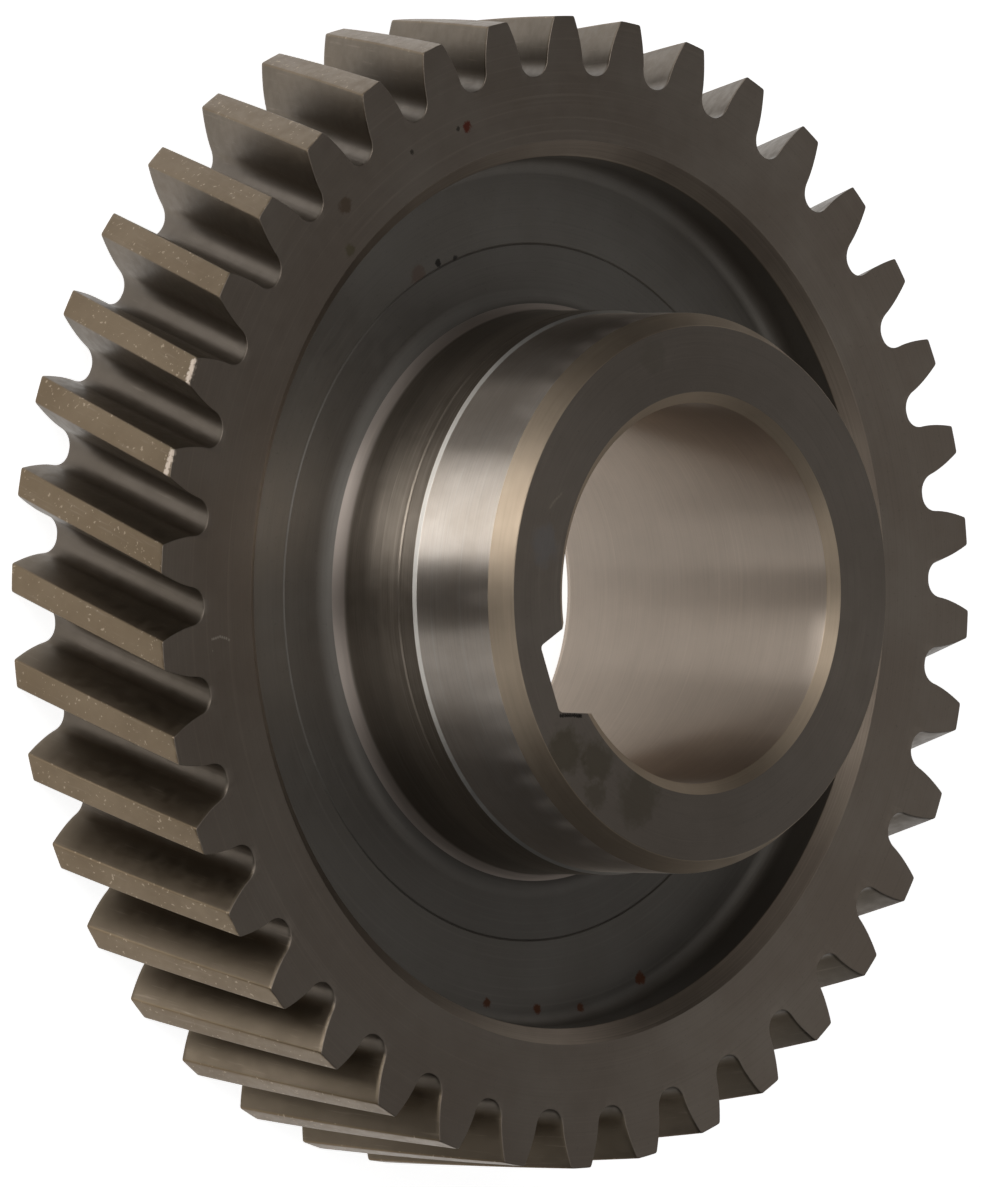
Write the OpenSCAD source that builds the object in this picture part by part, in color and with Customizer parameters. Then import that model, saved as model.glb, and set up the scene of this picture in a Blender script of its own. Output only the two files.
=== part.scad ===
// Helical gear with a keyed bore, a recessed web and a one-sided ground hub journal.
// Units are millimetres. +Z runs along the bore axis from the rear face towards the hub nose.
// The rear faces of the teeth, rim and hub lie at z = 0 and the keyway is centred on +X.

/* [Teeth] */
// Number of teeth round the gear
tooth_count = 38; // [30:1:46]
// Normal module, measured square to the tooth
normal_module = 3.25; // [2.8:0.05:3.6]
// Normal pressure angle in degrees
pressure_angle = 14.5; // [14:0.5:16]
// Helix angle at the pitch circle in degrees, right-handed
helix_angle = 19.1; // [12:0.1:26]
// Length of the teeth along the axis
face_width = 25.2; // [22:0.1:32]
// Whole tooth depth as a multiple of the normal module
depth_factor = 2.157; // [2.0:0.01:2.25]
// Root rounding radius of the generating rack
root_round = 2.0; // [1.0:0.1:2.1]
// Bevel on the outside edge at the front end of every tooth
tip_bevel = 0.1; // [0.1:0.05:1.2]
// Angle from the keyway centre line to a tooth centre line at the front face
tooth_phase = 2.887; // [0:0.001:9.4]

/* [Rim and web] */
// Radius of the cylindrical wall of the front recess
recess_r = 51.9; // [50:0.1:54]
// Radial width of the chamfer on the mouth of the front recess
recess_chamfer_r = 1.95; // [0.5:0.05:2.5]
// Axial depth of that chamfer
recess_chamfer_z = 1.55; // [0.5:0.05:2.5]
// Depth of the web floor below the front face of the rim
recess_depth = 7.0; // [4:0.1:9]
// Fillet between the recess wall and the web floor
recess_fillet = 2.0; // [1:0.1:3]
// Depth of the shallow recess in the rear face
rear_depth = 3.0; // [2:0.1:6]
// Chamfer on the mouth of the rear recess
rear_chamfer = 0.8; // [0.3:0.1:1.5]
// Radius of the fine turned line round the web
seam_r = 41.55; // [39:0.05:47]
// Width and depth of the edge break along that line
seam_break = 0.15; // [0.05:0.01:0.3]

/* [Hub] */
// Bore radius
bore_r = 22.5; // [20:0.05:24]
// Radius of the ground journal on the outside of the hub
journal_r = 33.2; // [31:0.05:33.5]
// Distance from the rim front face to the rear edge of the journal
journal_start = 6.4; // [5.6:0.1:9]
// Distance from the rim front face to the front edge of the journal
journal_end = 18.5; // [12:0.1:19.8]
// Distance from the rim front face to the hub end face
hub_nose = 21.3; // [20.6:0.1:26]
// Radial width of the chamfer between the journal and the end face
nose_chamfer = 1.5; // [0.5:0.05:3]
// Radius of the turned neck behind the journal
neck_r = 33.55; // [32:0.05:34]
// Fillet between the neck and the web floor
hub_fillet = 3.0; // [2:0.1:4]
// Distance from the rim front face to the fine turned line round the neck
groove_z = 3.9; // [1:0.1:4.6]
// Width of the turned line
groove_w = 0.5; // [0.3:0.1:0.8]
// Depth of the turned line
groove_d = 0.2; // [0.1:0.05:0.3]
// Radial width of the front bore chamfer
bore_chamfer_r = 1.35; // [0.5:0.05:2]
// Axial depth of the front bore chamfer
bore_chamfer_z = 1.05; // [0.5:0.05:2]
// Distance from the rear plane of the teeth to the rear face of the hub
hub_rear = 1.4; // [0:0.1:1.4]
// Radial width of the rear bore chamfer
bore_rear_r = 0.8; // [0.3:0.05:2]
// Axial depth of the rear bore chamfer
bore_rear_z = 1.3; // [0.3:0.05:2]
// Fillet between the hub boss and the web on the rear side
rear_fillet = 1.4; // [0.5:0.1:1.5]

/* [Keyway] */
// Width of the keyway floor
keyway_w = 8.4; // [6:0.1:10]
// Distance from the bore axis to the keyway floor
keyway_floor = 27.45; // [25:0.05:29]
// Sideways offset of the keyway floor centre from the bore centre line
keyway_offset = -0.35; // [-1:0.05:1]
// Flare of the keyway side facing +Y, in degrees
flare_a = 7; // [0:1:12]
// Flare of the keyway side facing -Y, in degrees
flare_b = 24; // [0:1:30]

/* [Hidden] */
$fn = 180;
// transverse tooth geometry
pitch_r = tooth_count*normal_module/(2*cos(helix_angle));
tip_r = pitch_r + normal_module;
root_r = tip_r - depth_factor*normal_module;
// the teeth stand on the rim a little below their roots
rim_r = root_r - 0.5;
alpha_t = atan(tan(pressure_angle)/cos(helix_angle));
base_r = pitch_r*cos(alpha_t);
module_t = normal_module/cos(helix_angle);
pitch_deg = 360/tooth_count;
// total turn of a tooth from the rear face to the front face
twist = face_width*tan(helix_angle)/pitch_r*180/PI;
// generating rack: depth and side offset of the centre of its rounded corner
rack_b = pitch_r - root_r - root_round;
rack_a = PI*module_t/4 - rack_b*tan(alpha_t) - root_round/cos(alpha_t);
rack_u = rack_b/tan(alpha_t);
// steps along one fillet, one involute and the foot (even)
n_fil = 4;
n_inv = 4;
n_base = 4;
// half angle of a tooth foot, a hair short of its neighbour
foot_deg = pitch_deg/2 - 0.01;
// web floor heights
floor_z = face_width - recess_depth;
fillet_in_r = neck_r + hub_fillet;
fillet_out_r = recess_r - recess_fillet;
nose_z = face_width + hub_nose;
groove_at = face_width + groove_z;
shoulder_z = face_width + journal_start;

// involute function in degrees
function inv_deg(a) = tan(a)*180/PI - a;
// half angle of a tooth at radius r above the fillet
function half_at(r) = 90/tooth_count + inv_deg(alpha_t) - inv_deg(acos(min(1, base_r/r)));
// point of the root fillet for rack position u: [radius, half angle]
function fil_pt(u) = let(
    l = sqrt(u*u + rack_b*rack_b),
    x = u*(1 + root_round/l),
    y = pitch_r - rack_b*(1 + root_round/l))
    [sqrt(x*x + y*y), pitch_deg/2 - (atan2(x, y) - (u - rack_a)/pitch_r*180/PI)];
fil_end_r = fil_pt(rack_u)[0];
// one flank from root to tip, as [radius, half angle], cut at radius top
function flank(top) = concat(
    [for (i = [0:n_fil]) fil_pt(rack_u*pow(i/n_fil, 1.6))],
    [for (i = [1:n_inv]) let(r = fil_end_r + (top - fil_end_r)*i/n_inv) [r, half_at(r)]]);
// closed outline of one tooth: up one side, down the other, back along the foot
function outline(top) = let(f = concat([[rim_r, foot_deg], [root_r, foot_deg]], flank(top)), n = len(f)) concat(
    [for (i = [0:n - 1]) [f[i][0], -f[i][1]]],
    [for (i = [n - 1:-1:0]) [f[i][0], f[i][1]]],
    [for (i = [1:n_base - 1]) [rim_r, foot_deg*(1 - 2*i/n_base)]]);
// triangles that close one end of a tooth, anticlockwise seen from +Z; n points a side
function cap(n) = let(r1 = 2*n - 2, h = n_base/2, c = 2*n - 1 + h) concat(
    [for (i = [0:h - 1]) [r1, 2*n - 1 + i, 2*n + i]],
    [[r1, c, 1]],
    [for (i = [h:n_base - 1]) [1, 2*n - 1 + i, i == n_base - 1 ? 0 : 2*n + i]],
    [for (i = [1:n - 2]) [i, i + 1, 2*n - 2 - i]],
    [for (i = [1:n - 2]) [i, 2*n - 2 - i, 2*n - 1 - i]]);
// tooth cross-sections: [height, tip radius]
sections = concat(
    [for (i = [0:4]) [(face_width - tip_bevel)*i/4, tip_r]],
    [[face_width, tip_r - tip_bevel]]);

// one helical tooth, centred on angle 0 at the front face
module tooth() {
    m = len(outline(tip_r));
    n = (m - n_base + 1)/2;
    ns = len(sections);
    pts = [for (s = sections) for (p = outline(s[1]))
        let(a = p[1] - twist*(1 - s[0]/face_width)) [p[0]*cos(a), p[0]*sin(a), s[0]]];
    faces = concat(
        [for (t = cap(n)) t],
        [for (t = cap(n)) [m*(ns - 1) + t[0], m*(ns - 1) + t[2], m*(ns - 1) + t[1]]],
        [for (k = [0:ns - 2]) for (i = [0:m - 1]) let(j = (i + 1)%m) [m*k + i, m*(k + 1) + i, m*(k + 1) + j]],
        [for (k = [0:ns - 2]) for (i = [0:m - 1]) let(j = (i + 1)%m) [m*k + i, m*(k + 1) + j, m*k + j]]);
    polyhedron(points = pts, faces = faces, convexity = 4);
}

// the ring of teeth
module helical_teeth() {
    color([0.56, 0.52, 0.47])
    for (i = [0:tooth_count - 1])
        rotate([0, 0, tooth_phase + i*pitch_deg]) tooth();
}

// rim: cylinder under the teeth, recess walls, chamfers and fillets inside
module rim() {
    color([0.42, 0.38, 0.34])
    rotate_extrude(convexity = 6)
    difference() {
        translate([fillet_out_r, 0]) square([rim_r - fillet_out_r, face_width]);
        // front recess wall with its corner fillet
        translate([fillet_out_r - 1, floor_z + recess_fillet]) square([recess_fillet + 1, face_width]);
        translate([fillet_out_r, floor_z + recess_fillet]) circle(r = recess_fillet);
        // front chamfer
        polygon([[recess_r - 1, face_width - recess_chamfer_z], [recess_r, face_width - recess_chamfer_z],
                 [recess_r + recess_chamfer_r, face_width], [recess_r + recess_chamfer_r, face_width + 1],
                 [recess_r - 1, face_width + 1]]);
        // rear recess wall with its corner fillet
        translate([fillet_out_r - 1, -1]) square([recess_fillet + 1, rear_depth - recess_fillet + 1]);
        translate([fillet_out_r, rear_depth - recess_fillet]) circle(r = recess_fillet);
        // rear chamfer
        polygon([[recess_r - 1, -1], [recess_r + rear_chamfer, -1], [recess_r + rear_chamfer, 0],
                 [recess_r, rear_chamfer], [recess_r - 1, rear_chamfer]]);
    }
}

// flat web between the rim and the turned line
module web() {
    color([0.38, 0.36, 0.35])
    rotate_extrude(convexity = 4)
    polygon([[seam_r, rear_depth], [fillet_out_r, rear_depth], [fillet_out_r, floor_z],
             [seam_r + seam_break, floor_z], [seam_r, floor_z - seam_break]]);
}

// flat flange between the turned line and the foot of the hub
module hub_flange() {
    color([0.36, 0.34, 0.33])
    rotate_extrude(convexity = 4)
    polygon([[fillet_in_r, rear_depth], [seam_r, rear_depth], [seam_r, floor_z - seam_break],
             [seam_r - seam_break, floor_z], [fillet_in_r, floor_z]]);
}

// section of the hub barrel before the keyway is cut
module hub_section() {
    difference() {
        polygon([
            [bore_r, hub_rear + bore_rear_z], [bore_r + bore_rear_r, hub_rear],
            [fillet_in_r, hub_rear], [fillet_in_r, floor_z + hub_fillet],
            [neck_r, floor_z + hub_fillet],
            [neck_r, groove_at],
            [neck_r - groove_d, groove_at + groove_w/2],
            [neck_r, groove_at + groove_w],
            [neck_r, shoulder_z],
            [journal_r, shoulder_z + max(0.05, neck_r - journal_r)],
            [journal_r, face_width + journal_end],
            [journal_r - nose_chamfer, nose_z],
            [bore_r + bore_chamfer_r, nose_z],
            [bore_r, nose_z - bore_chamfer_z]]);
        // fillet from the web floor to the neck
        translate([fillet_in_r, floor_z + hub_fillet]) circle(r = hub_fillet);
        // rear recess round the boss
        translate([fillet_in_r, rear_depth - rear_fillet]) circle(r = rear_fillet);
        translate([fillet_in_r - rear_fillet, -1]) square([10, 1 + rear_depth - rear_fillet]);
    }
}

// outline of the keyway, open towards the bore
module keyway_outline() {
    run = keyway_floor - (bore_r - 5);
    ya = keyway_offset - keyway_w/2;
    yb = keyway_offset + keyway_w/2;
    polygon([[keyway_floor - run, ya - run*tan(flare_a)], [keyway_floor, ya],
             [keyway_floor, yb], [keyway_floor - run, yb + run*tan(flare_b)]]);
}

// hub barrel with bore, keyway, journal and end chamfers
module hub() {
    color([0.62, 0.58, 0.52])
    difference() {
        rotate_extrude(convexity = 8) hub_section();
        translate([0, 0, -1]) linear_extrude(nose_z + 2) keyway_outline();
    }
}

helical_teeth();
rim();
web();
hub_flange();
hub();
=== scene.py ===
import bpy, bmesh, math
import numpy as np
from mathutils import Matrix, Quaternion, Vector


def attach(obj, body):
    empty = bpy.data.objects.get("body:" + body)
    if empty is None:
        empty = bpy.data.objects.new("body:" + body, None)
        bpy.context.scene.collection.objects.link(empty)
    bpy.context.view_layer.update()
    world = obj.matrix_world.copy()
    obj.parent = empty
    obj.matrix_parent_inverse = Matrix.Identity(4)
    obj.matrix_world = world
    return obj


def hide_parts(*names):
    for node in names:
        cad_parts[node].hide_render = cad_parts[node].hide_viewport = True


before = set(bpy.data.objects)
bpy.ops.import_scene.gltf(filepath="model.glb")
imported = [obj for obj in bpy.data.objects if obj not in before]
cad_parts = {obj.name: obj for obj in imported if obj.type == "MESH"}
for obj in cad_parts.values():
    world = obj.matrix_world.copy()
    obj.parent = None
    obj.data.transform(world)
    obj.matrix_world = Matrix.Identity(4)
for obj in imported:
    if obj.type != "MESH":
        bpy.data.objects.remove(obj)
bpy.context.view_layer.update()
sc = bpy.context.scene
MM = 0.001

# ------------------------------------------------------------------ dimensions, the same as the CAD, in mm
N = 38
MN = 3.25
PA = math.radians(14.5)
BETA = math.radians(19.1)
F = 25.2
RP = N*MN/(2*math.cos(BETA))
RT = RP + MN - 0.003
RR = RT - 2.157*MN + 0.003
RHO = 2.0
AT = math.atan(math.tan(PA)/math.cos(BETA))
RB = RP*math.cos(AT)
MT = MN/math.cos(BETA)
PITCH = 2*math.pi/N
TWIST = F*math.tan(BETA)/RP
PHASE = math.radians(2.887)
FLOOR_Z = F - 7.0
SEAM = 41.55
RING_IN = 60.6


def inv(a):
    return math.tan(a) - a


def half_at(r):
    return math.pi/2/N + inv(AT) - inv(math.acos(min(1.0, RB/r)))


B0 = RP - RR - RHO
A0 = math.pi*MT/4 - B0*math.tan(AT) - RHO/math.cos(AT)
U0 = B0/math.tan(AT)


def fil_pt(u):
    l = math.hypot(u, B0)
    x = u*(1 + RHO/l)
    y = RP - B0*(1 + RHO/l)
    return math.hypot(x, y), PITCH/2 - (math.atan2(x, y) - (u - A0)/RP)


def tooth_side():
    """One side of a tooth from the middle of the gap to the middle of the tooth, as (radius, half angle)."""
    pts = [(RR, PITCH/2)]
    nf = 16
    for i in range(nf + 1):
        pts.append(fil_pt(U0*(i/nf)**1.5))
    r0 = pts[-1][0]
    c = 0.22
    ni = 11
    for i in range(1, ni + 1):
        r = r0 + (RT - c - r0)*i/ni
        pts.append((r, half_at(r)))
    h = half_at(RT)
    pts.append((RT - 0.5*c, half_at(RT - 0.5*c) - 0.02/RT))
    pts.append((RT - 0.15*c, h - 0.07/RT))
    pts.append((RT, h - 0.24/RT))
    pts.append((RT, h*0.45))
    return pts


# ------------------------------------------------------------------ mesh helpers
def new_object(name, verts, faces, mats, face_mats=None, sharp=32, body="root"):
    me = bpy.data.meshes.new(name)
    me.from_pydata([tuple(v) for v in verts], [], faces)
    me.update()
    ob = bpy.data.objects.new(name, me)
    sc.collection.objects.link(ob)
    for m in mats:
        me.materials.append(m)
    if face_mats is not None:
        me.polygons.foreach_set("material_index", face_mats)
    bm = bmesh.new()
    bm.from_mesh(me)
    bmesh.ops.recalc_face_normals(bm, faces=bm.faces)
    bm.to_mesh(me)
    bm.free()
    me.polygons.foreach_set("use_smooth", [True]*len(me.polygons))
    me.set_sharp_from_angle(angle=math.radians(sharp))
    w = ob.modifiers.new("normals", "WEIGHTED_NORMAL")
    w.mode = "FACE_AREA_WITH_ANGLE"
    w.weight = 60
    w.keep_sharp = True
    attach(ob, body)
    return ob


def rounded(corners, fine=0.35):
    """Profile points (r, z, material) from corners (r, z, radius, material of the run that follows)."""
    out = []
    n = len(corners)
    for i, (r, z, rad, m) in enumerate(corners):
        p = np.array([r, z])
        a = np.array(corners[i - 1][:2]) - p
        b = np.array(corners[(i + 1) % n][:2]) - p
        la, lb = np.linalg.norm(a), np.linalg.norm(b)
        if rad <= 0:
            out.append((r, z, m))
            continue
        a, b = a/la, b/lb
        ang = math.acos(max(-1, min(1, float(a @ b))))
        t = min(rad/math.tan(ang/2), la*0.999, lb*0.999)
        rad = t*math.tan(ang/2)
        c = p + (a + b)/np.linalg.norm(a + b)*(rad/math.sin(ang/2))
        s, e = p + a*t, p + b*t
        a0 = math.atan2(*(s - c)[::-1])
        da = math.atan2(*(e - c)[::-1]) - a0
        da = (da + math.pi) % (2*math.pi) - math.pi
        k = max(3, int(abs(da)*rad/fine) + 3)
        prev = corners[i - 1][3]
        for j in range(k + 1):
            q = c + rad*np.array([math.cos(a0 + da*j/k), math.sin(a0 + da*j/k)])
            out.append((q[0], q[1], m if j >= k*0.5 else prev))
    clean = [out[0]]
    for q in out[1:]:
        if math.hypot(q[0] - clean[-1][0], q[1] - clean[-1][1]) > 1e-4:
            clean.append(q)
        else:
            clean[-1] = (clean[-1][0], clean[-1][1], q[2])
    if math.hypot(clean[0][0] - clean[-1][0], clean[0][1] - clean[-1][1]) < 1e-4:
        clean.pop()
    return clean


def lathe(name, corners, mats, seg=304, replaces=None):
    prof = rounded(corners)
    m = len(prof)
    verts, faces, fm = [], [], []
    for j in range(seg):
        t = 2*math.pi*j/seg
        for r, z, _ in prof:
            verts.append((r*math.cos(t)*MM, r*math.sin(t)*MM, z*MM))
    for j in range(seg):
        k = (j + 1) % seg
        for i in range(m):
            i2 = (i + 1) % m
            faces.append((j*m + i, k*m + i, k*m + i2, j*m + i2))
            fm.append(prof[i][2])
    ob = new_object(name, verts, faces, mats, fm)
    if replaces:
        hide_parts(*replaces)
    return ob


# ------------------------------------------------------------------ material helpers
class Nodes:
    def __init__(self, name):
        self.mat = bpy.data.materials.new(name)
        self.mat.use_nodes = True
        self.t = self.mat.node_tree
        self.t.nodes.clear()
        self.out = self.new("ShaderNodeOutputMaterial")
        self.bsdf = self.new("ShaderNodeBsdfPrincipled")
        self.link(self.bsdf.outputs[0], self.out.inputs[0])
        tc = self.new("ShaderNodeTexCoord")
        self.P = self.vmath("SCALE", tc.outputs["Object"], scale=1000.0)
        s = self.new("ShaderNodeSeparateXYZ")
        self.link(self.P, s.inputs[0])
        self.x, self.y, self.z = s.outputs
        flat = self.comb(self.x, self.y, 0.0)
        self.r = self.vmath("LENGTH", flat)
        d = self.vmath("NORMALIZE", flat)
        s2 = self.new("ShaderNodeSeparateXYZ")
        self.link(d, s2.inputs[0])
        self.c, self.s, _ = s2.outputs

    def new(self, kind, **kw):
        n = self.t.nodes.new(kind)
        for k, v in kw.items():
            setattr(n, k, v)
        return n

    def link(self, a, b):
        self.t.links.new(a, b)

    def put(self, sock, v):
        if isinstance(v, (int, float)):
            sock.default_value = v
        elif isinstance(v, (tuple, list)):
            sock.default_value = tuple(v) if len(v) != 3 or sock.type == "VECTOR" else (*v, 1.0)
        else:
            self.link(v, sock)

    def math(self, op, a, b=0.0, c=None, clamp=False):
        n = self.new("ShaderNodeMath", operation=op, use_clamp=clamp)
        self.put(n.inputs[0], a)
        self.put(n.inputs[1], b)
        if c is not None:
            self.put(n.inputs[2], c)
        return n.outputs[0]

    def vmath(self, op, a, b=None, scale=None):
        n = self.new("ShaderNodeVectorMath", operation=op)
        self.put(n.inputs[0], a)
        if b is not None:
            self.put(n.inputs[1], b)
        if scale is not None:
            n.inputs["Scale"].default_value = scale
        return n.outputs["Value"] if op in ("LENGTH", "DISTANCE", "DOT_PRODUCT") else n.outputs[0]

    def comb(self, x, y, z):
        n = self.new("ShaderNodeCombineXYZ")
        for s, v in zip(n.inputs, (x, y, z)):
            self.put(s, v)
        return n.outputs[0]

    def noise(self, vec, scale=1.0, detail=3.0, rough=0.55, dist=0.0, out=0):
        n = self.new("ShaderNodeTexNoise")
        self.put(n.inputs["Vector"], vec)
        n.inputs["Scale"].default_value = scale
        n.inputs["Detail"].default_value = detail
        n.inputs["Roughness"].default_value = rough
        n.inputs["Distortion"].default_value = dist
        return n.outputs[out]

    def step(self, v, lo, hi, a=0.0, b=1.0, smooth=True):
        n = self.new("ShaderNodeMapRange")
        n.interpolation_type = "SMOOTHSTEP" if smooth else "LINEAR"
        n.clamp = True
        self.put(n.inputs[0], v)
        for i, q in zip((1, 2, 3, 4), (lo, hi, a, b)):
            self.put(n.inputs[i], q)
        return n.outputs[0]

    def mix(self, f, a, b, mode="MIX"):
        n = self.new("ShaderNodeMix", data_type="RGBA", blend_type=mode)
        n.clamp_factor = True
        self.put(n.inputs[0], f)
        self.put(n.inputs[6], a)
        self.put(n.inputs[7], b)
        return n.outputs[2]

    def turned(self, freq, wob=1.2, seed=0.0, detail=2.0):
        """Fine rings left by a tool that follows the profile: they run round the axis."""
        run = self.math("MULTIPLY", self.math("ADD", self.r, self.math("MULTIPLY", self.z, 0.93)), freq)
        v = self.comb(self.math("ADD", run, seed), self.math("MULTIPLY", self.c, wob), self.math("MULTIPLY", self.s, wob))
        return self.noise(v, 1.0, detail, 0.6)

    def bump(self, h, dist_mm, strength=1.0, normal=None):
        n = self.new("ShaderNodeBump")
        n.inputs["Strength"].default_value = strength
        n.inputs["Distance"].default_value = dist_mm*MM
        self.put(n.inputs["Height"], h)
        if normal is not None:
            self.link(normal, n.inputs["Normal"])
        return n.outputs[0]

    def spot(self, x, y, z, rad, soft=0.5, ragged=0.6):
        """Mask of a stain with a ragged edge: 1 inside, 0 outside."""
        d = self.vmath("DISTANCE", self.P, (x, y, z))
        w = self.noise(self.P, 1.7/rad, 3.0, 0.65)
        d = self.math("ADD", d, self.math("MULTIPLY", self.math("SUBTRACT", w, 0.5), ragged*rad*2))
        return self.step(d, rad, rad*(1 - soft), 0.0, 1.0)

    def aniso(self, amount, rot=0.25):
        t = self.new("ShaderNodeTangent")
        t.direction_type = "RADIAL"
        t.axis = "Z"
        self.link(t.outputs[0], self.bsdf.inputs["Tangent"])
        self.bsdf.inputs["Anisotropic"].default_value = amount
        self.bsdf.inputs["Anisotropic Rotation"].default_value = rot

    def brushed(self, color, normal, share, rough, amount):
        """Adds the wide, thin lobe of a ground or finely turned surface: sharp round the axis, wide across the marks."""
        g = self.new("ShaderNodeBsdfAnisotropic")
        g.distribution = "MULTI_GGX"
        t = self.new("ShaderNodeTangent")
        t.direction_type = "RADIAL"
        t.axis = "Z"
        self.link(t.outputs[0], g.inputs["Tangent"])
        self.put(g.inputs["Color"], color)
        g.inputs["Roughness"].default_value = rough
        g.inputs["Anisotropy"].default_value = amount
        g.inputs["Rotation"].default_value = 0.0
        self.link(normal, g.inputs["Normal"])
        m = self.new("ShaderNodeMixShader")
        m.inputs[0].default_value = share
        self.link(self.bsdf.outputs[0], m.inputs[1])
        self.link(g.outputs[0], m.inputs[2])
        self.link(m.outputs[0], self.out.inputs[0])

    def done(self, color, rough, normal=None, metal=1.0, brush=None):
        self.put(self.bsdf.inputs["Base Color"], color)
        self.put(self.bsdf.inputs["Roughness"], rough)
        self.bsdf.inputs["Metallic"].default_value = metal
        if normal is not None:
            self.link(normal, self.bsdf.inputs["Normal"])
        if brush:
            self.brushed(color, normal, *brush)
        return self.mat


def turned_layers(n, col_a, col_b, rough, turn, blotch=0.06, spots=(), fleck=0.0, lines=0.2, painted_side_shade=None):
    """Colour, roughness and the three heights of a turned steel face; the last argument paints light and shade onto the
    colour: a slow change of tone from one side of the part to the other.
    """
    big = n.noise(n.P, blotch, 4.0, 0.6)
    mid = n.noise(n.P, 0.55, 4.0, 0.65)
    fine = n.turned(turn, 1.3, 3.0)
    finer = n.turned(turn*2.3, 2.5, 11.0)
    grain = n.noise(n.P, 9.0, 3.0, 0.7)
    f = n.math("ADD", n.step(big, 0.30, 0.70), n.math("MULTIPLY", n.math("SUBTRACT", mid, 0.5), 0.5), clamp=True)
    col = n.mix(f, col_a, col_b)
    # painted light and shade: the tone is scaled from k0 to k1 across the part along direction az, with the blotch
    # noise ragging the border
    if painted_side_shade:
        az, t0, t1, k0, k1 = painted_side_shade
        t = n.math("ADD", n.math("MULTIPLY", n.x, math.cos(math.radians(az))), n.math("MULTIPLY", n.y, math.sin(math.radians(az))))
        t = n.math("ADD", t, n.math("MULTIPLY", n.math("SUBTRACT", big, 0.5), 16.0))
        col = n.mix(n.step(t, t0, t1), n.mix(f, tuple(c*k0 for c in col_a), tuple(c*k0 for c in col_b)),
                    n.mix(f, tuple(c*k1 for c in col_a), tuple(c*k1 for c in col_b)))
    dark = tuple(c*0.62 for c in col_a)
    lite = tuple(min(1, c*1.35) for c in col_b)
    col = n.mix(n.step(fine, 0.50, 0.80, 0.0, lines), col, lite)
    col = n.mix(n.step(finer, 0.55, 0.25, 0.0, lines*0.8), col, dark)
    if fleck:
        col = n.mix(n.math("MULTIPLY", n.step(n.noise(n.P, 2.6, 2.0, 0.5), 0.66, 0.74), fleck), col, dark)
    rg = n.step(n.math("ADD", n.math("MULTIPLY", mid, 0.6), n.math("MULTIPLY", fine, 0.4)), 0.3, 0.7, rough[0], rough[1])
    for (x, y, z, rad, c, a) in spots:
        m = n.math("MULTIPLY", n.spot(x, y, z, rad), a)
        col = n.mix(m, col, c)
        rg = n.math("ADD", rg, n.math("MULTIPLY", m, 0.25), clamp=True)
    return col, rg, fine, finer, grain


def steel(name, col_a, col_b, rough=(0.35, 0.5), turn=6.0, turn_mm=0.004, grain_mm=0.002,
          aniso=0.5, blotch=0.06, spots=(), fleck=0.0, brush=None, lines=0.2, painted_side_shade=None, painted_fillet_highlight=None):
    n = Nodes(name)
    col, rg, fine, finer, grain = turned_layers(n, col_a, col_b, rough, turn, blotch, spots, fleck, lines, painted_side_shade)
    if painted_fillet_highlight:
        # painted shade: the neck is darkened towards its foot, below the rim's front plane, down in the recess
        col = n.mix(n.step(n.z, F - 0.5, F + 2.0, 0.42, 0.0), col, tuple(c*0.5 for c in col_a))
        # painted highlight: the fillet at the foot of the neck gets a bright colour with brighter turning rings and a
        # fixed roughness
        low = n.step(n.z, FLOOR_Z + 2.5, FLOOR_Z + 1.9)
        col = n.mix(low, col, n.mix(n.step(fine, 0.45, 0.70), painted_fillet_highlight, tuple(c*1.25 for c in painted_fillet_highlight)))
        rg = n.mix(low, rg, (0.47, 0.47, 0.47))
    nrm = n.bump(fine, turn_mm, 0.9)
    nrm = n.bump(finer, turn_mm*0.5, 0.8, nrm)
    nrm = n.bump(grain, grain_mm, 0.7, nrm)
    if aniso:
        n.aniso(aniso)
    return n.done(col, rg, nrm, brush=brush)


RUST = (0.16, 0.05, 0.018)
BROWN = (0.09, 0.05, 0.022)
SOOT = (0.02, 0.019, 0.017)
rim_spots = ((-4.06, -57.87, 25.2, 0.85, (0.16, 0.035, 0.02), 0.9), (-2.6, -58.2, 25.2, 0.4, SOOT, 0.7),
             (18.37, -56.8, 25.2, 1.3, BROWN, 0.55), (5.64, -58.5, 25.2, 0.4, SOOT, 0.7),
             (61.0, -17.5, 25.2, 1.2, RUST, 0.4), (19.59, -51.59, 25.2, 1.0, (0.10, 0.09, 0.03), 0.5),
             (1.05, -51.5, 24.2, 0.6, SOOT, 0.8))
web_spots = ((-0.07, -42.18, 18.2, 0.6, SOOT, 0.8), (-3.0, -41.6, 18.2, 0.5, SOOT, 0.7), (3.5, -41.9, 18.2, 1.5, RUST, 0.35),
             (25.26, 42.49, 18.2, 0.75, RUST, 0.8), (17.72, 46.48, 18.2, 0.75, RUST, 0.85), (10.94, 49.26, 18.2, 0.7, RUST, 0.8),
             (0.13, 49.96, 18.2, 1.0, RUST, 0.85), (13.81, 33.63, 18.2, 0.8, SOOT, 0.8), (9.2, 35.84, 18.2, 0.6, SOOT, 0.7),
             (4.16, 37.06, 18.2, 0.7, RUST, 0.6), (16.88, -33.4, 18.2, 0.45, BROWN, 0.9))
OIL = (0.135, 0.113, 0.070)


def trail(points, step, rad, c, a):
    """Small marks spaced along a line of points."""
    out = []
    for (x0, y0, z), (x1, y1, _) in zip(points, points[1:]):
        k = max(1, round(math.hypot(x1 - x0, y1 - y0)/step))
        out += [(x0 + (x1 - x0)*i/k, y0 + (y1 - y0)*i/k, z, rad, c, a) for i in range(k)]
    return tuple(out)


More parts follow.
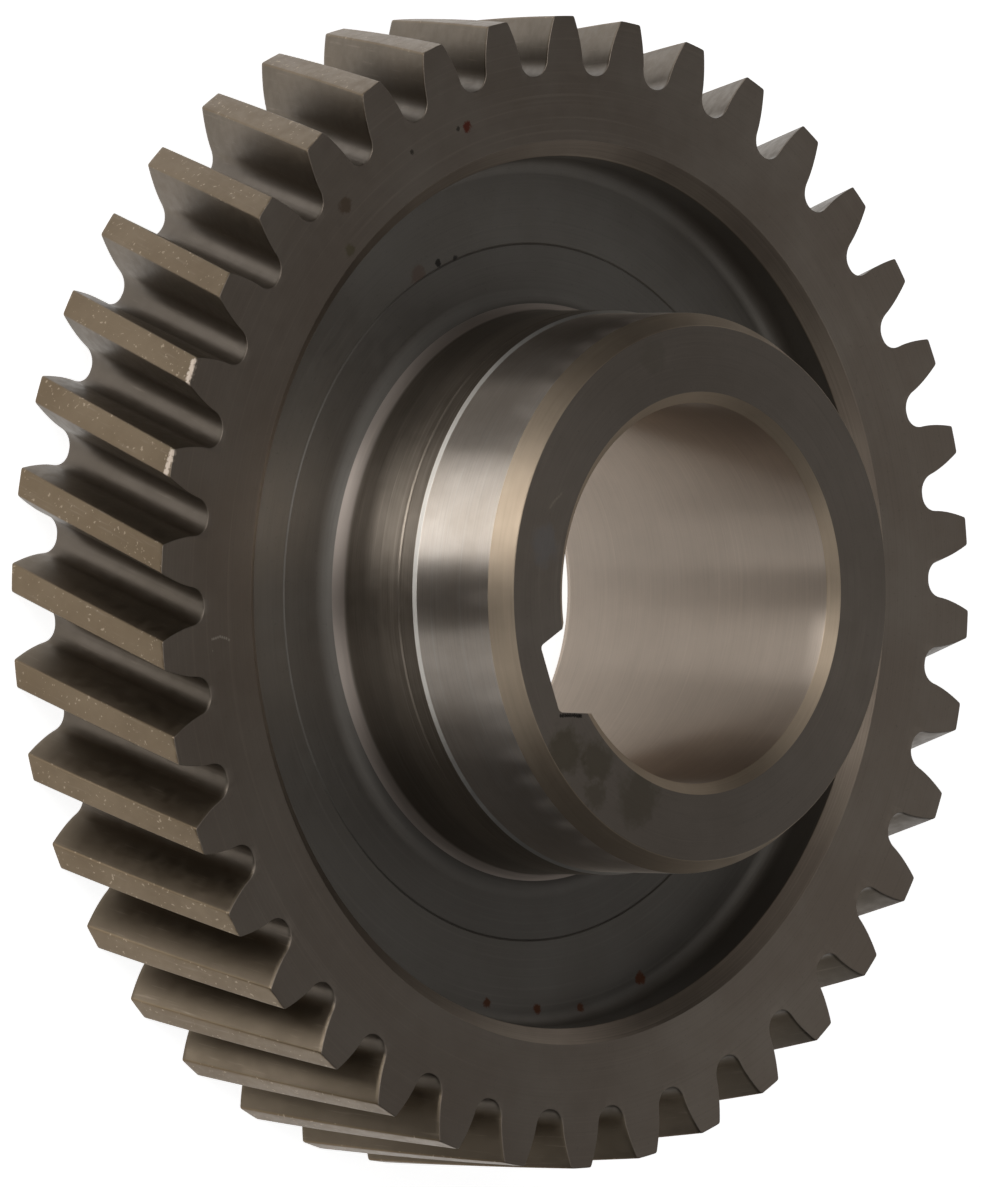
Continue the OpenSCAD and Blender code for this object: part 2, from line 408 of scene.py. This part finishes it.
SCRATCH = (0.56, 0.51, 0.44)
hub_spots = ((28.2, 8.4, 46.5, 3.6, OIL, 0.55), (23.6, 11.6, 46.5, 3.2, OIL, 0.5), (19.0, 18.2, 46.5, 4.4, OIL, 0.4), (25.6, 15.2, 46.5, 2.2, OIL, 0.4),
             (22.34, -15.3, 46.5, 2.8, (0.19, 0.20, 0.22), 0.35), (-2.65, -29.0, 46.5, 2.6, (0.22, 0.19, 0.15), 0.35))
hub_spots += trail(((27.4, 4.3, 46.5), (25.6, 5.0, 46.5), (24.0, 5.75, 46.5)), 0.36, 0.30, SOOT, 0.8)
hub_spots += trail(((17.6, -19.8, 46.5), (18.9, -19.5, 46.5), (20.2, -18.9, 46.5)), 0.4, 0.22, (0.36, 0.31, 0.25), 0.5)
rim_spots += trail(((59.4, -17.8, 25.2), (57.9, -17.8, 25.2), (56.5, -17.6, 25.2), (55.6, -17.0, 25.2), (55.0, -16.4, 25.2)), 0.38, 0.20, SCRATCH, 0.7)
rim_spots += trail(((58.2, -17.6, 25.2), (58.5, -16.9, 25.2), (58.2, -16.2, 25.2)), 0.38, 0.20, SCRATCH, 0.6)
RIM_COLS = ((0.281, 0.231, 0.187), (0.322, 0.274, 0.227))
# painted light and shade: the rim and the teeth's front faces are made darker (x0.82) towards one side and lighter
# (x1.20) towards the other
RIM_PAINTED_SHADE = (149.5, -5, 55, 0.82, 1.20)
# painted shade: the web and flange are made darker (x0.78) towards one side
WEB_PAINTED_SHADE = (69.5, 10, 44, 1.0, 0.78)
M_rim = steel("rim_turned_steel", *RIM_COLS, (0.46, 0.54), 3.0, 0.003, 0.002, 0.0, spots=rim_spots, fleck=0.25, painted_side_shade=RIM_PAINTED_SHADE)
M_cham = steel("recess_chamfer_steel", (0.290, 0.234, 0.187), (0.350, 0.289, 0.228), (0.34, 0.42), 3.0, 0.006, 0.002, 0.5, lines=0.5)
M_web = steel("web_turned_steel", (0.250, 0.226, 0.197), (0.284, 0.262, 0.233), (0.46, 0.54), 2.6, 0.004, 0.002, 0.45, spots=web_spots, fleck=0.3, painted_side_shade=WEB_PAINTED_SHADE)
M_flange = steel("flange_turned_steel", (0.228, 0.208, 0.184), (0.262, 0.242, 0.216), (0.46, 0.54), 2.8, 0.004, 0.002, 0.45, fleck=0.3, painted_side_shade=WEB_PAINTED_SHADE)
M_neck = steel("neck_turned_steel", (0.350, 0.300, 0.245), (0.410, 0.352, 0.293), (0.37, 0.43), 2.2, 0.008, 0.001, 0.85, lines=0.5, painted_fillet_highlight=(0.60, 0.52, 0.46))
M_ground = steel("ground_journal_steel", (0.72, 0.63, 0.54), (0.90, 0.81, 0.72), (0.40, 0.44), 3.5, 0.0004, 0.0002, 0.9, brush=(0.87, 0.36, 0.75), lines=0.22, fleck=0.08)
M_lip = steel("lip_bright_steel", (0.66, 0.62, 0.56), (0.78, 0.74, 0.68), (0.34, 0.42), 3.5, 0.0006, 0.0004, 0.0, lines=0.1)
M_nose = steel("nose_chamfer_steel", (0.455, 0.362, 0.268), (0.545, 0.442, 0.332), (0.46, 0.52), 3.5, 0.002, 0.001, 0.7)
M_face = steel("hub_face_steel", (0.246, 0.208, 0.172), (0.284, 0.243, 0.205), (0.45, 0.52), 2.8, 0.002, 0.001, 0.6, spots=hub_spots, fleck=0.3)
M_bore = steel("bore_ground_steel", (0.490, 0.420, 0.355), (0.550, 0.472, 0.400), (0.40, 0.44), 3.5, 0.0006, 0.0004, 0.9, brush=(0.6, 0.41, 0.78))
M_key = steel("keyway_steel", (0.34, 0.29, 0.24), (0.44, 0.38, 0.32), (0.40, 0.5), 3.0, 0.003, 0.002, 0.0)


# small bright patches on the front ends of two top lands
FACETS = tuple((r*math.cos(a), r*math.sin(a), z, 0.60) for r, a, z in
               [(68.5, math.atan2(y, x), z) for x, y, z in ((55.85, -40.63, 24.9), (56.4, -40.1, 24.75), (56.98, -39.57, 24.6), (57.5, -39.0, 24.45), (57.96, -38.46, 24.4),
                                                           (48.49, -49.23, 24.8), (48.95, -48.7, 24.8), (49.43, -48.23, 24.8), (49.95, -47.8, 24.75), (50.51, -47.28, 24.7))])


def tooth_steel():
    n = Nodes("tooth_steel")
    big = n.noise(n.P, 0.09, 4.0, 0.6)
    mid = n.noise(n.P, 0.7, 4.0, 0.65)
    # angle followed down the helix, so that marks run along the teeth
    k = math.tan(BETA)/RP
    ang = n.math("SUBTRACT", n.math("ARCTAN2", n.y, n.x), n.math("MULTIPLY", n.z, k))
    ca, sa = n.math("COSINE", ang), n.math("SINE", ang)
    helix = n.comb(n.math("MULTIPLY", n.math("MULTIPLY", n.r, ca), 2.2), n.math("MULTIPLY", n.math("MULTIPLY", n.r, sa), 2.2), n.math("MULTIPLY", n.z, 0.18))
    along = n.noise(helix, 1.0, 3.0, 0.6)
    grain = n.noise(n.P, 8.0, 3.0, 0.7)
    land = n.step(n.r, RT - 0.30, RT - 0.12)
    face = n.step(n.z, F - 0.10, F - 0.03)
    root = n.step(n.r, RR + 1.7, RR + 0.6)
    f = n.math("ADD", n.step(big, 0.30, 0.70), n.math("MULTIPLY", n.math("SUBTRACT", mid, 0.5), 0.5), clamp=True)
    flank = n.mix(f, (0.118, 0.094, 0.067), (0.143, 0.114, 0.083))
    rootc = n.mix(f, (0.118, 0.099, 0.079), (0.144, 0.122, 0.100))
    landc = n.mix(f, (0.145, 0.107, 0.068), (0.174, 0.132, 0.087))
    # the front faces carry the rim's painted light and shade as well
    facec, face_rg, face_fine, face_finer, face_grain = turned_layers(n, *RIM_COLS, (0.46, 0.54), 3.0, fleck=0.25, painted_side_shade=RIM_PAINTED_SHADE)
    col = n.mix(root, flank, rootc)
    col = n.mix(land, col, landc)
    col = n.mix(n.step(along, 0.58, 0.80, 0.0, 0.3), col, (0.30, 0.25, 0.20))
    speck = n.step(n.noise(n.P, 1.9, 2.0, 0.5), 0.655, 0.70)
    col = n.mix(n.math("MULTIPLY", n.math("MULTIPLY", speck, land), 0.55), col, (0.42, 0.34, 0.25))
    col = n.mix(face, col, facec)
    rg = n.mix(face, n.step(mid, 0.3, 0.7, 0.38, 0.48), face_rg)
    for (x, y, z, rad) in FACETS:
        m = n.spot(x, y, z, rad)
        col = n.mix(n.math("MULTIPLY", m, 0.9), col, (0.62, 0.52, 0.43))
    nrm = n.bump(n.mix(face, along, face_fine), 0.004, 0.9)
    nrm = n.bump(n.mix(face, grain, face_finer), 0.0018, 0.8, nrm)
    nrm = n.bump(face_grain, 0.002, 0.7, nrm)
    return n.done(col, rg, nrm)


M_tooth = tooth_steel()

# ------------------------------------------------------------------ the toothed ring
side = tooth_side()
prof = []
for i in range(N):
    c0 = PHASE + i*PITCH
    prof += [(r, c0 - h) for r, h in side]
    prof.append((RT, c0))
    prof += [(r, c0 + h) for r, h in reversed(side[1:])]
prof = np.array(prof)
M = len(prof)
xy = np.stack([prof[:, 0]*np.cos(prof[:, 1]), prof[:, 0]*np.sin(prof[:, 1])], 1)
tan = np.roll(xy, -1, 0) - np.roll(xy, 1, 0)
tan /= np.linalg.norm(tan, axis=1)[:, None]
inward = np.stack([-tan[:, 1], tan[:, 0]], 1)
rr = prof[:, 0]


def edge_size(front):
    if not front:
        return np.full(M, 0.10)
    return np.interp(rr, [RR, RR + 1.0, RT - 0.3, RT], [0.09, 0.06, 0.06, 0.08])


STEPS = ((0.0, 1.0), (0.10, 0.80), (0.45, 0.42), (0.80, 0.10), (1.0, 0.0))
rings = []
eb, et = edge_size(False), edge_size(True)
for dz, off in STEPS:
    rings.append((dz*eb, off*eb))
for z in np.linspace(0.5, F - 0.5, 19):
    rings.append((np.full(M, z), np.zeros(M)))
for dz, off in reversed(STEPS):
    rings.append((F - dz*et, off*et))
verts, faces = [], []
inner0 = np.stack([RING_IN*np.cos(prof[:, 1] - TWIST), RING_IN*np.sin(prof[:, 1] - TWIST)], 1)
inner1 = np.stack([RING_IN*np.cos(prof[:, 1]), RING_IN*np.sin(prof[:, 1])], 1)
layers = [np.concatenate([inner0, np.zeros((M, 1))], 1)]
for z, off in rings:
    p = xy + inward*off[:, None]
    a = -TWIST*(1 - z/F)
    q = np.stack([p[:, 0]*np.cos(a) - p[:, 1]*np.sin(a), p[:, 0]*np.sin(a) + p[:, 1]*np.cos(a), z], 1)
    layers.append(q)
layers.append(np.concatenate([inner1, np.full((M, 1), F)], 1))
verts = np.concatenate(layers)*MM
L = len(layers)
for k in range(L):
    k2 = (k + 1) % L
    for j in range(M):
        j2 = (j + 1) % M
        faces.append((k*M + j, k*M + j2, k2*M + j2, k2*M + j))
ring = new_object("toothed_ring", verts, faces, [M_tooth], sharp=28)
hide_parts("helical_teeth")

# ------------------------------------------------------------------ rim, web and flange
rim = lathe("rim_ring", [
    (RING_IN, 0, 0, 0), (RING_IN, F, 0, 0), (53.85, F, 0.22, 1), (51.9, F - 1.55, 0.25, 2), (51.9, FLOOR_Z, 2.0, 2),
    (49.9, FLOOR_Z, 0, 0), (49.9, 3.0, 0, 2), (51.9, 3.0, 2.0, 2), (51.9, 0.8, 0.2, 1), (52.7, 0, 0.2, 0)],
    [M_rim, M_cham, M_web], replaces=["rim"])
web = lathe("web_disc", [
    (SEAM, 3.0, 0, 0), (49.9, 3.0, 0, 0), (49.9, FLOOR_Z, 0, 0), (SEAM + 0.15, FLOOR_Z, 0.03, 0), (SEAM, FLOOR_Z - 0.15, 0, 0)],
    [M_web], replaces=["web"])
flange = lathe("hub_flange_disc", [
    (36.55, 3.0, 0, 0), (SEAM, 3.0, 0, 0), (SEAM, FLOOR_Z - 0.15, 0, 0), (SEAM - 0.15, FLOOR_Z, 0.03, 0), (36.55, FLOOR_Z, 0, 0)],
    [M_flange], replaces=["hub_flange"])

# ------------------------------------------------------------------ hub
NOSE = F + 21.3
hub = lathe("hub_barrel", [
    (22.5, 2.7, 0.15, 4), (23.3, 1.4, 0.2, 3), (35.15, 1.4, 0.15, 0), (35.15, 3.0, 1.4, 0), (36.55, 3.0, 0, 0), (36.55, FLOOR_Z, 0, 0),
    (33.55, FLOOR_Z, 3.0, 1), (33.55, F + 3.9, 0.04, 1), (33.46, F + 4.15, 0.04, 1), (33.55, F + 4.4, 0.04, 1),
    (33.55, F + 6.4, 0.12, 7), (33.2, F + 6.75, 0.12, 2), (33.2, F + 18.5, 0.20, 5), (31.7, NOSE, 0.25, 3),
    (23.85, NOSE, 0.18, 5), (22.5, NOSE - 1.05, 0.2, 4)],
    [M_flange, M_neck, M_ground, M_face, M_bore, M_nose, M_key, M_lip], seg=380, replaces=["hub"])
# keyway: cut with an exact boolean, then its long edges are broken
ya, yb, kf, run = -0.35 - 4.2, -0.35 + 4.2, 27.45, 27.45 - 15.0
out = [(kf - run, ya - run*math.tan(math.radians(7))), (kf - 0.4, ya - 0.4*math.tan(math.radians(7))), (kf - 0.12, ya + 0.1), (kf, ya + 0.4),
       (kf, yb - 0.4), (kf - 0.12, yb - 0.1), (kf - 0.4, yb + 0.4*math.tan(math.radians(24))), (kf - run, yb + run*math.tan(math.radians(24)))]
kv = [(x*MM, y*MM, -1*MM) for x, y in out] + [(x*MM, y*MM, (NOSE + 1)*MM) for x, y in out]
n8 = len(out)
kfaces = [tuple(range(n8))[::-1], tuple(range(n8, 2*n8))] + [(i, (i + 1) % n8, n8 + (i + 1) % n8, n8 + i) for i in range(n8)]
cme = bpy.data.meshes.new("cutter")
cme.from_pydata(kv, [], kfaces)
for m in hub.data.materials:
    cme.materials.append(m)
cme.polygons.foreach_set("material_index", [6]*len(cme.polygons))
cut = bpy.data.objects.new("cutter", cme)
sc.collection.objects.link(cut)
hub.modifiers.clear()
bo = hub.modifiers.new("key", "BOOLEAN")
bo.operation = "DIFFERENCE"
bo.solver = "EXACT"
bo.object = cut
dg = bpy.context.evaluated_depsgraph_get()
me2 = bpy.data.meshes.new_from_object(hub.evaluated_get(dg))
hub.modifiers.clear()
hub.data = me2
bpy.data.objects.remove(cut)
me2.polygons.foreach_set("use_smooth", [True]*len(me2.polygons))
me2.set_sharp_from_angle(angle=math.radians(32))
wn = hub.modifiers.new("normals", "WEIGHTED_NORMAL")
wn.mode = "FACE_AREA_WITH_ANGLE"
wn.weight = 60
wn.keep_sharp = True

# ------------------------------------------------------------------ floor, light, camera
n = Nodes("pale_floor")
fl = n.noise(n.P, 0.02, 3.0, 0.5)
n.bsdf.inputs["Emission Color"].default_value = (1, 1, 1, 1)
n.bsdf.inputs["Emission Strength"].default_value = 0.84
M_floor = n.done(n.mix(fl, (0.90, 0.90, 0.90), (0.93, 0.93, 0.93)), 0.9, None, 0.0)
NEAR = 0.117


def floor_part(name, r0, r1):
    ang = [2*math.pi*k/192 for k in range(192)]
    if r0 == 0:
        v = [(r1*math.cos(a), r1*math.sin(a), 0) for a in ang]
        f = [tuple(range(192))]
    else:
        v = [(r*math.cos(a), r*math.sin(a), 0) for r in (r0, r1) for a in ang]
        f = [(k, (k + 1) % 192, 192 + (k + 1) % 192, 192 + k)[::-1] for k in range(192)]
    me = bpy.data.meshes.new(name)
    me.from_pydata(v, [], f)
    me.materials.append(M_floor)
    ob = bpy.data.objects.new(name, me)
    ob.location = (0, 0, -0.00002)
    sc.collection.objects.link(ob)
    return ob


floor = floor_part("floor", 0, NEAR)
floor_far = floor_part("floor_far", NEAR, 6.0)
floor_far.visible_glossy = False

ROT = math.radians(159.5)          # the view's own azimuth zero, turned into the row frame
ctr = Vector((0, 0, 0.022))
DIST = 2.0


def area(name, az, el, dist, sx, sy, watts, col=(1, 1, 1)):
    a = math.radians(az) + ROT
    e = math.radians(el)
    d = Vector((math.cos(a)*math.cos(e), math.sin(a)*math.cos(e), math.sin(e)))
    li = bpy.data.lights.new(name, "AREA")
    li.shape = "RECTANGLE"
    li.size, li.size_y = sx, sy
    li.energy = watts
    li.color = col
    ob = bpy.data.objects.new(name, li)
    ob.location = ctr + d*dist
    ob.rotation_mode = "QUATERNION"
    ob.rotation_quaternion = d.to_track_quat("Z", "Y")
    sc.collection.objects.link(ob)
    return ob


# soft boxes: name, azimuth from, azimuth to, elevation, half height, radiance
for name, a0, a1, el, hh, rad in (
        ("main_low", 128, 160, 8, 8, 1.58), ("main_mid", 128, 160, 25, 9, 1.32), ("main_high", 128, 160, 45, 10.5, 1.38),
        ("side_left", 96, 128, 17, 17, 0.50),
        ("inner_low", 160, 169, 8, 8, 0.80), ("inner_mid", 160, 169, 25, 9, 0.80), ("inner_high", 160, 170, 45, 10.5, 0.80),
        ("graze_a", 128, 136, 3.4, 2.4, 3.0), ("graze_b", 136, 144, 3.4, 2.4, 8.5),
        ("graze_c", 144, 152, 3.4, 2.4, 14.0), ("graze_d", 152, 166, 3.4, 2.4, 18.0),
        ("second_low", 192, 208, 8, 8, 0.94), ("second_mid", 192, 208, 25, 9, 0.87), ("second_high", 192, 208, 45, 10.5, 0.71),
        ("edge_low", 208, 217, 8, 8, 0.64), ("edge_fade", 217, 226, 8, 8, 0.35), ("edge_end", 226, 238, 8, 8, 0.20), ("edge_mid", 208, 224, 25, 9, 0.64), ("edge_high", 208, 224, 45, 10.5, 0.64),
        ("back_a", 306, 331, 17, 17, 0.26), ("back_b", 331, 356, 27.5, 27.5, 0.29), ("back_c", -4, 21, 17, 17, 0.29),
        ("back_d", 21, 46, 17, 17, 0.39), ("right_a", 71, 96, 36, 19.5, 0.13), ("right_b", 281, 306, 36, 19.5, 0.08),
        ("top_a", 46, 74, 67, 14, 0.40), ("top_b", 106, 134, 67, 14, 0.445), ("top_c", 166, 194, 67, 14, 0.22),
        ("top_d", 226, 254, 67, 14, 0.35), ("top_e", 286, 314, 67, 14, 0.40)):
    c = math.cos(math.radians(el)) if el < 60 else 1.0
    sx = 2*DIST*c*math.tan(math.radians((a1 - a0)/2))
    sy = 2*DIST*math.tan(math.radians(hh))
    area(name, (a0 + a1)/2, el, DIST, sx, sy, math.pi*sx*sy*rad)

w = bpy.data.worlds.new("studio")
w.use_nodes = True
w.node_tree.nodes["Background"].inputs[0].default_value = (0.92, 0.95, 1.0, 1)
w.node_tree.nodes["Background"].inputs[1].default_value = 0.02
sc.world = w

cam = bpy.data.cameras.new("view")
cam.sensor_fit = "AUTO"
cam.sensor_width = 36.0
cam.lens = 620.76
cam.clip_start, cam.clip_end = 0.05, 30
co = bpy.data.objects.new("view", cam)
co.location = (1.60604343, -0.6684782, 1.72964256)
co.rotation_mode = "QUATERNION"
co.rotation_quaternion = Quaternion((0.17762339, 0.37779852, -0.07690544, 0.90543015)).normalized()
sc.collection.objects.link(co)
sc.camera = co
sc.view_settings.view_transform = "Standard"
sc.view_settings.look = "None"
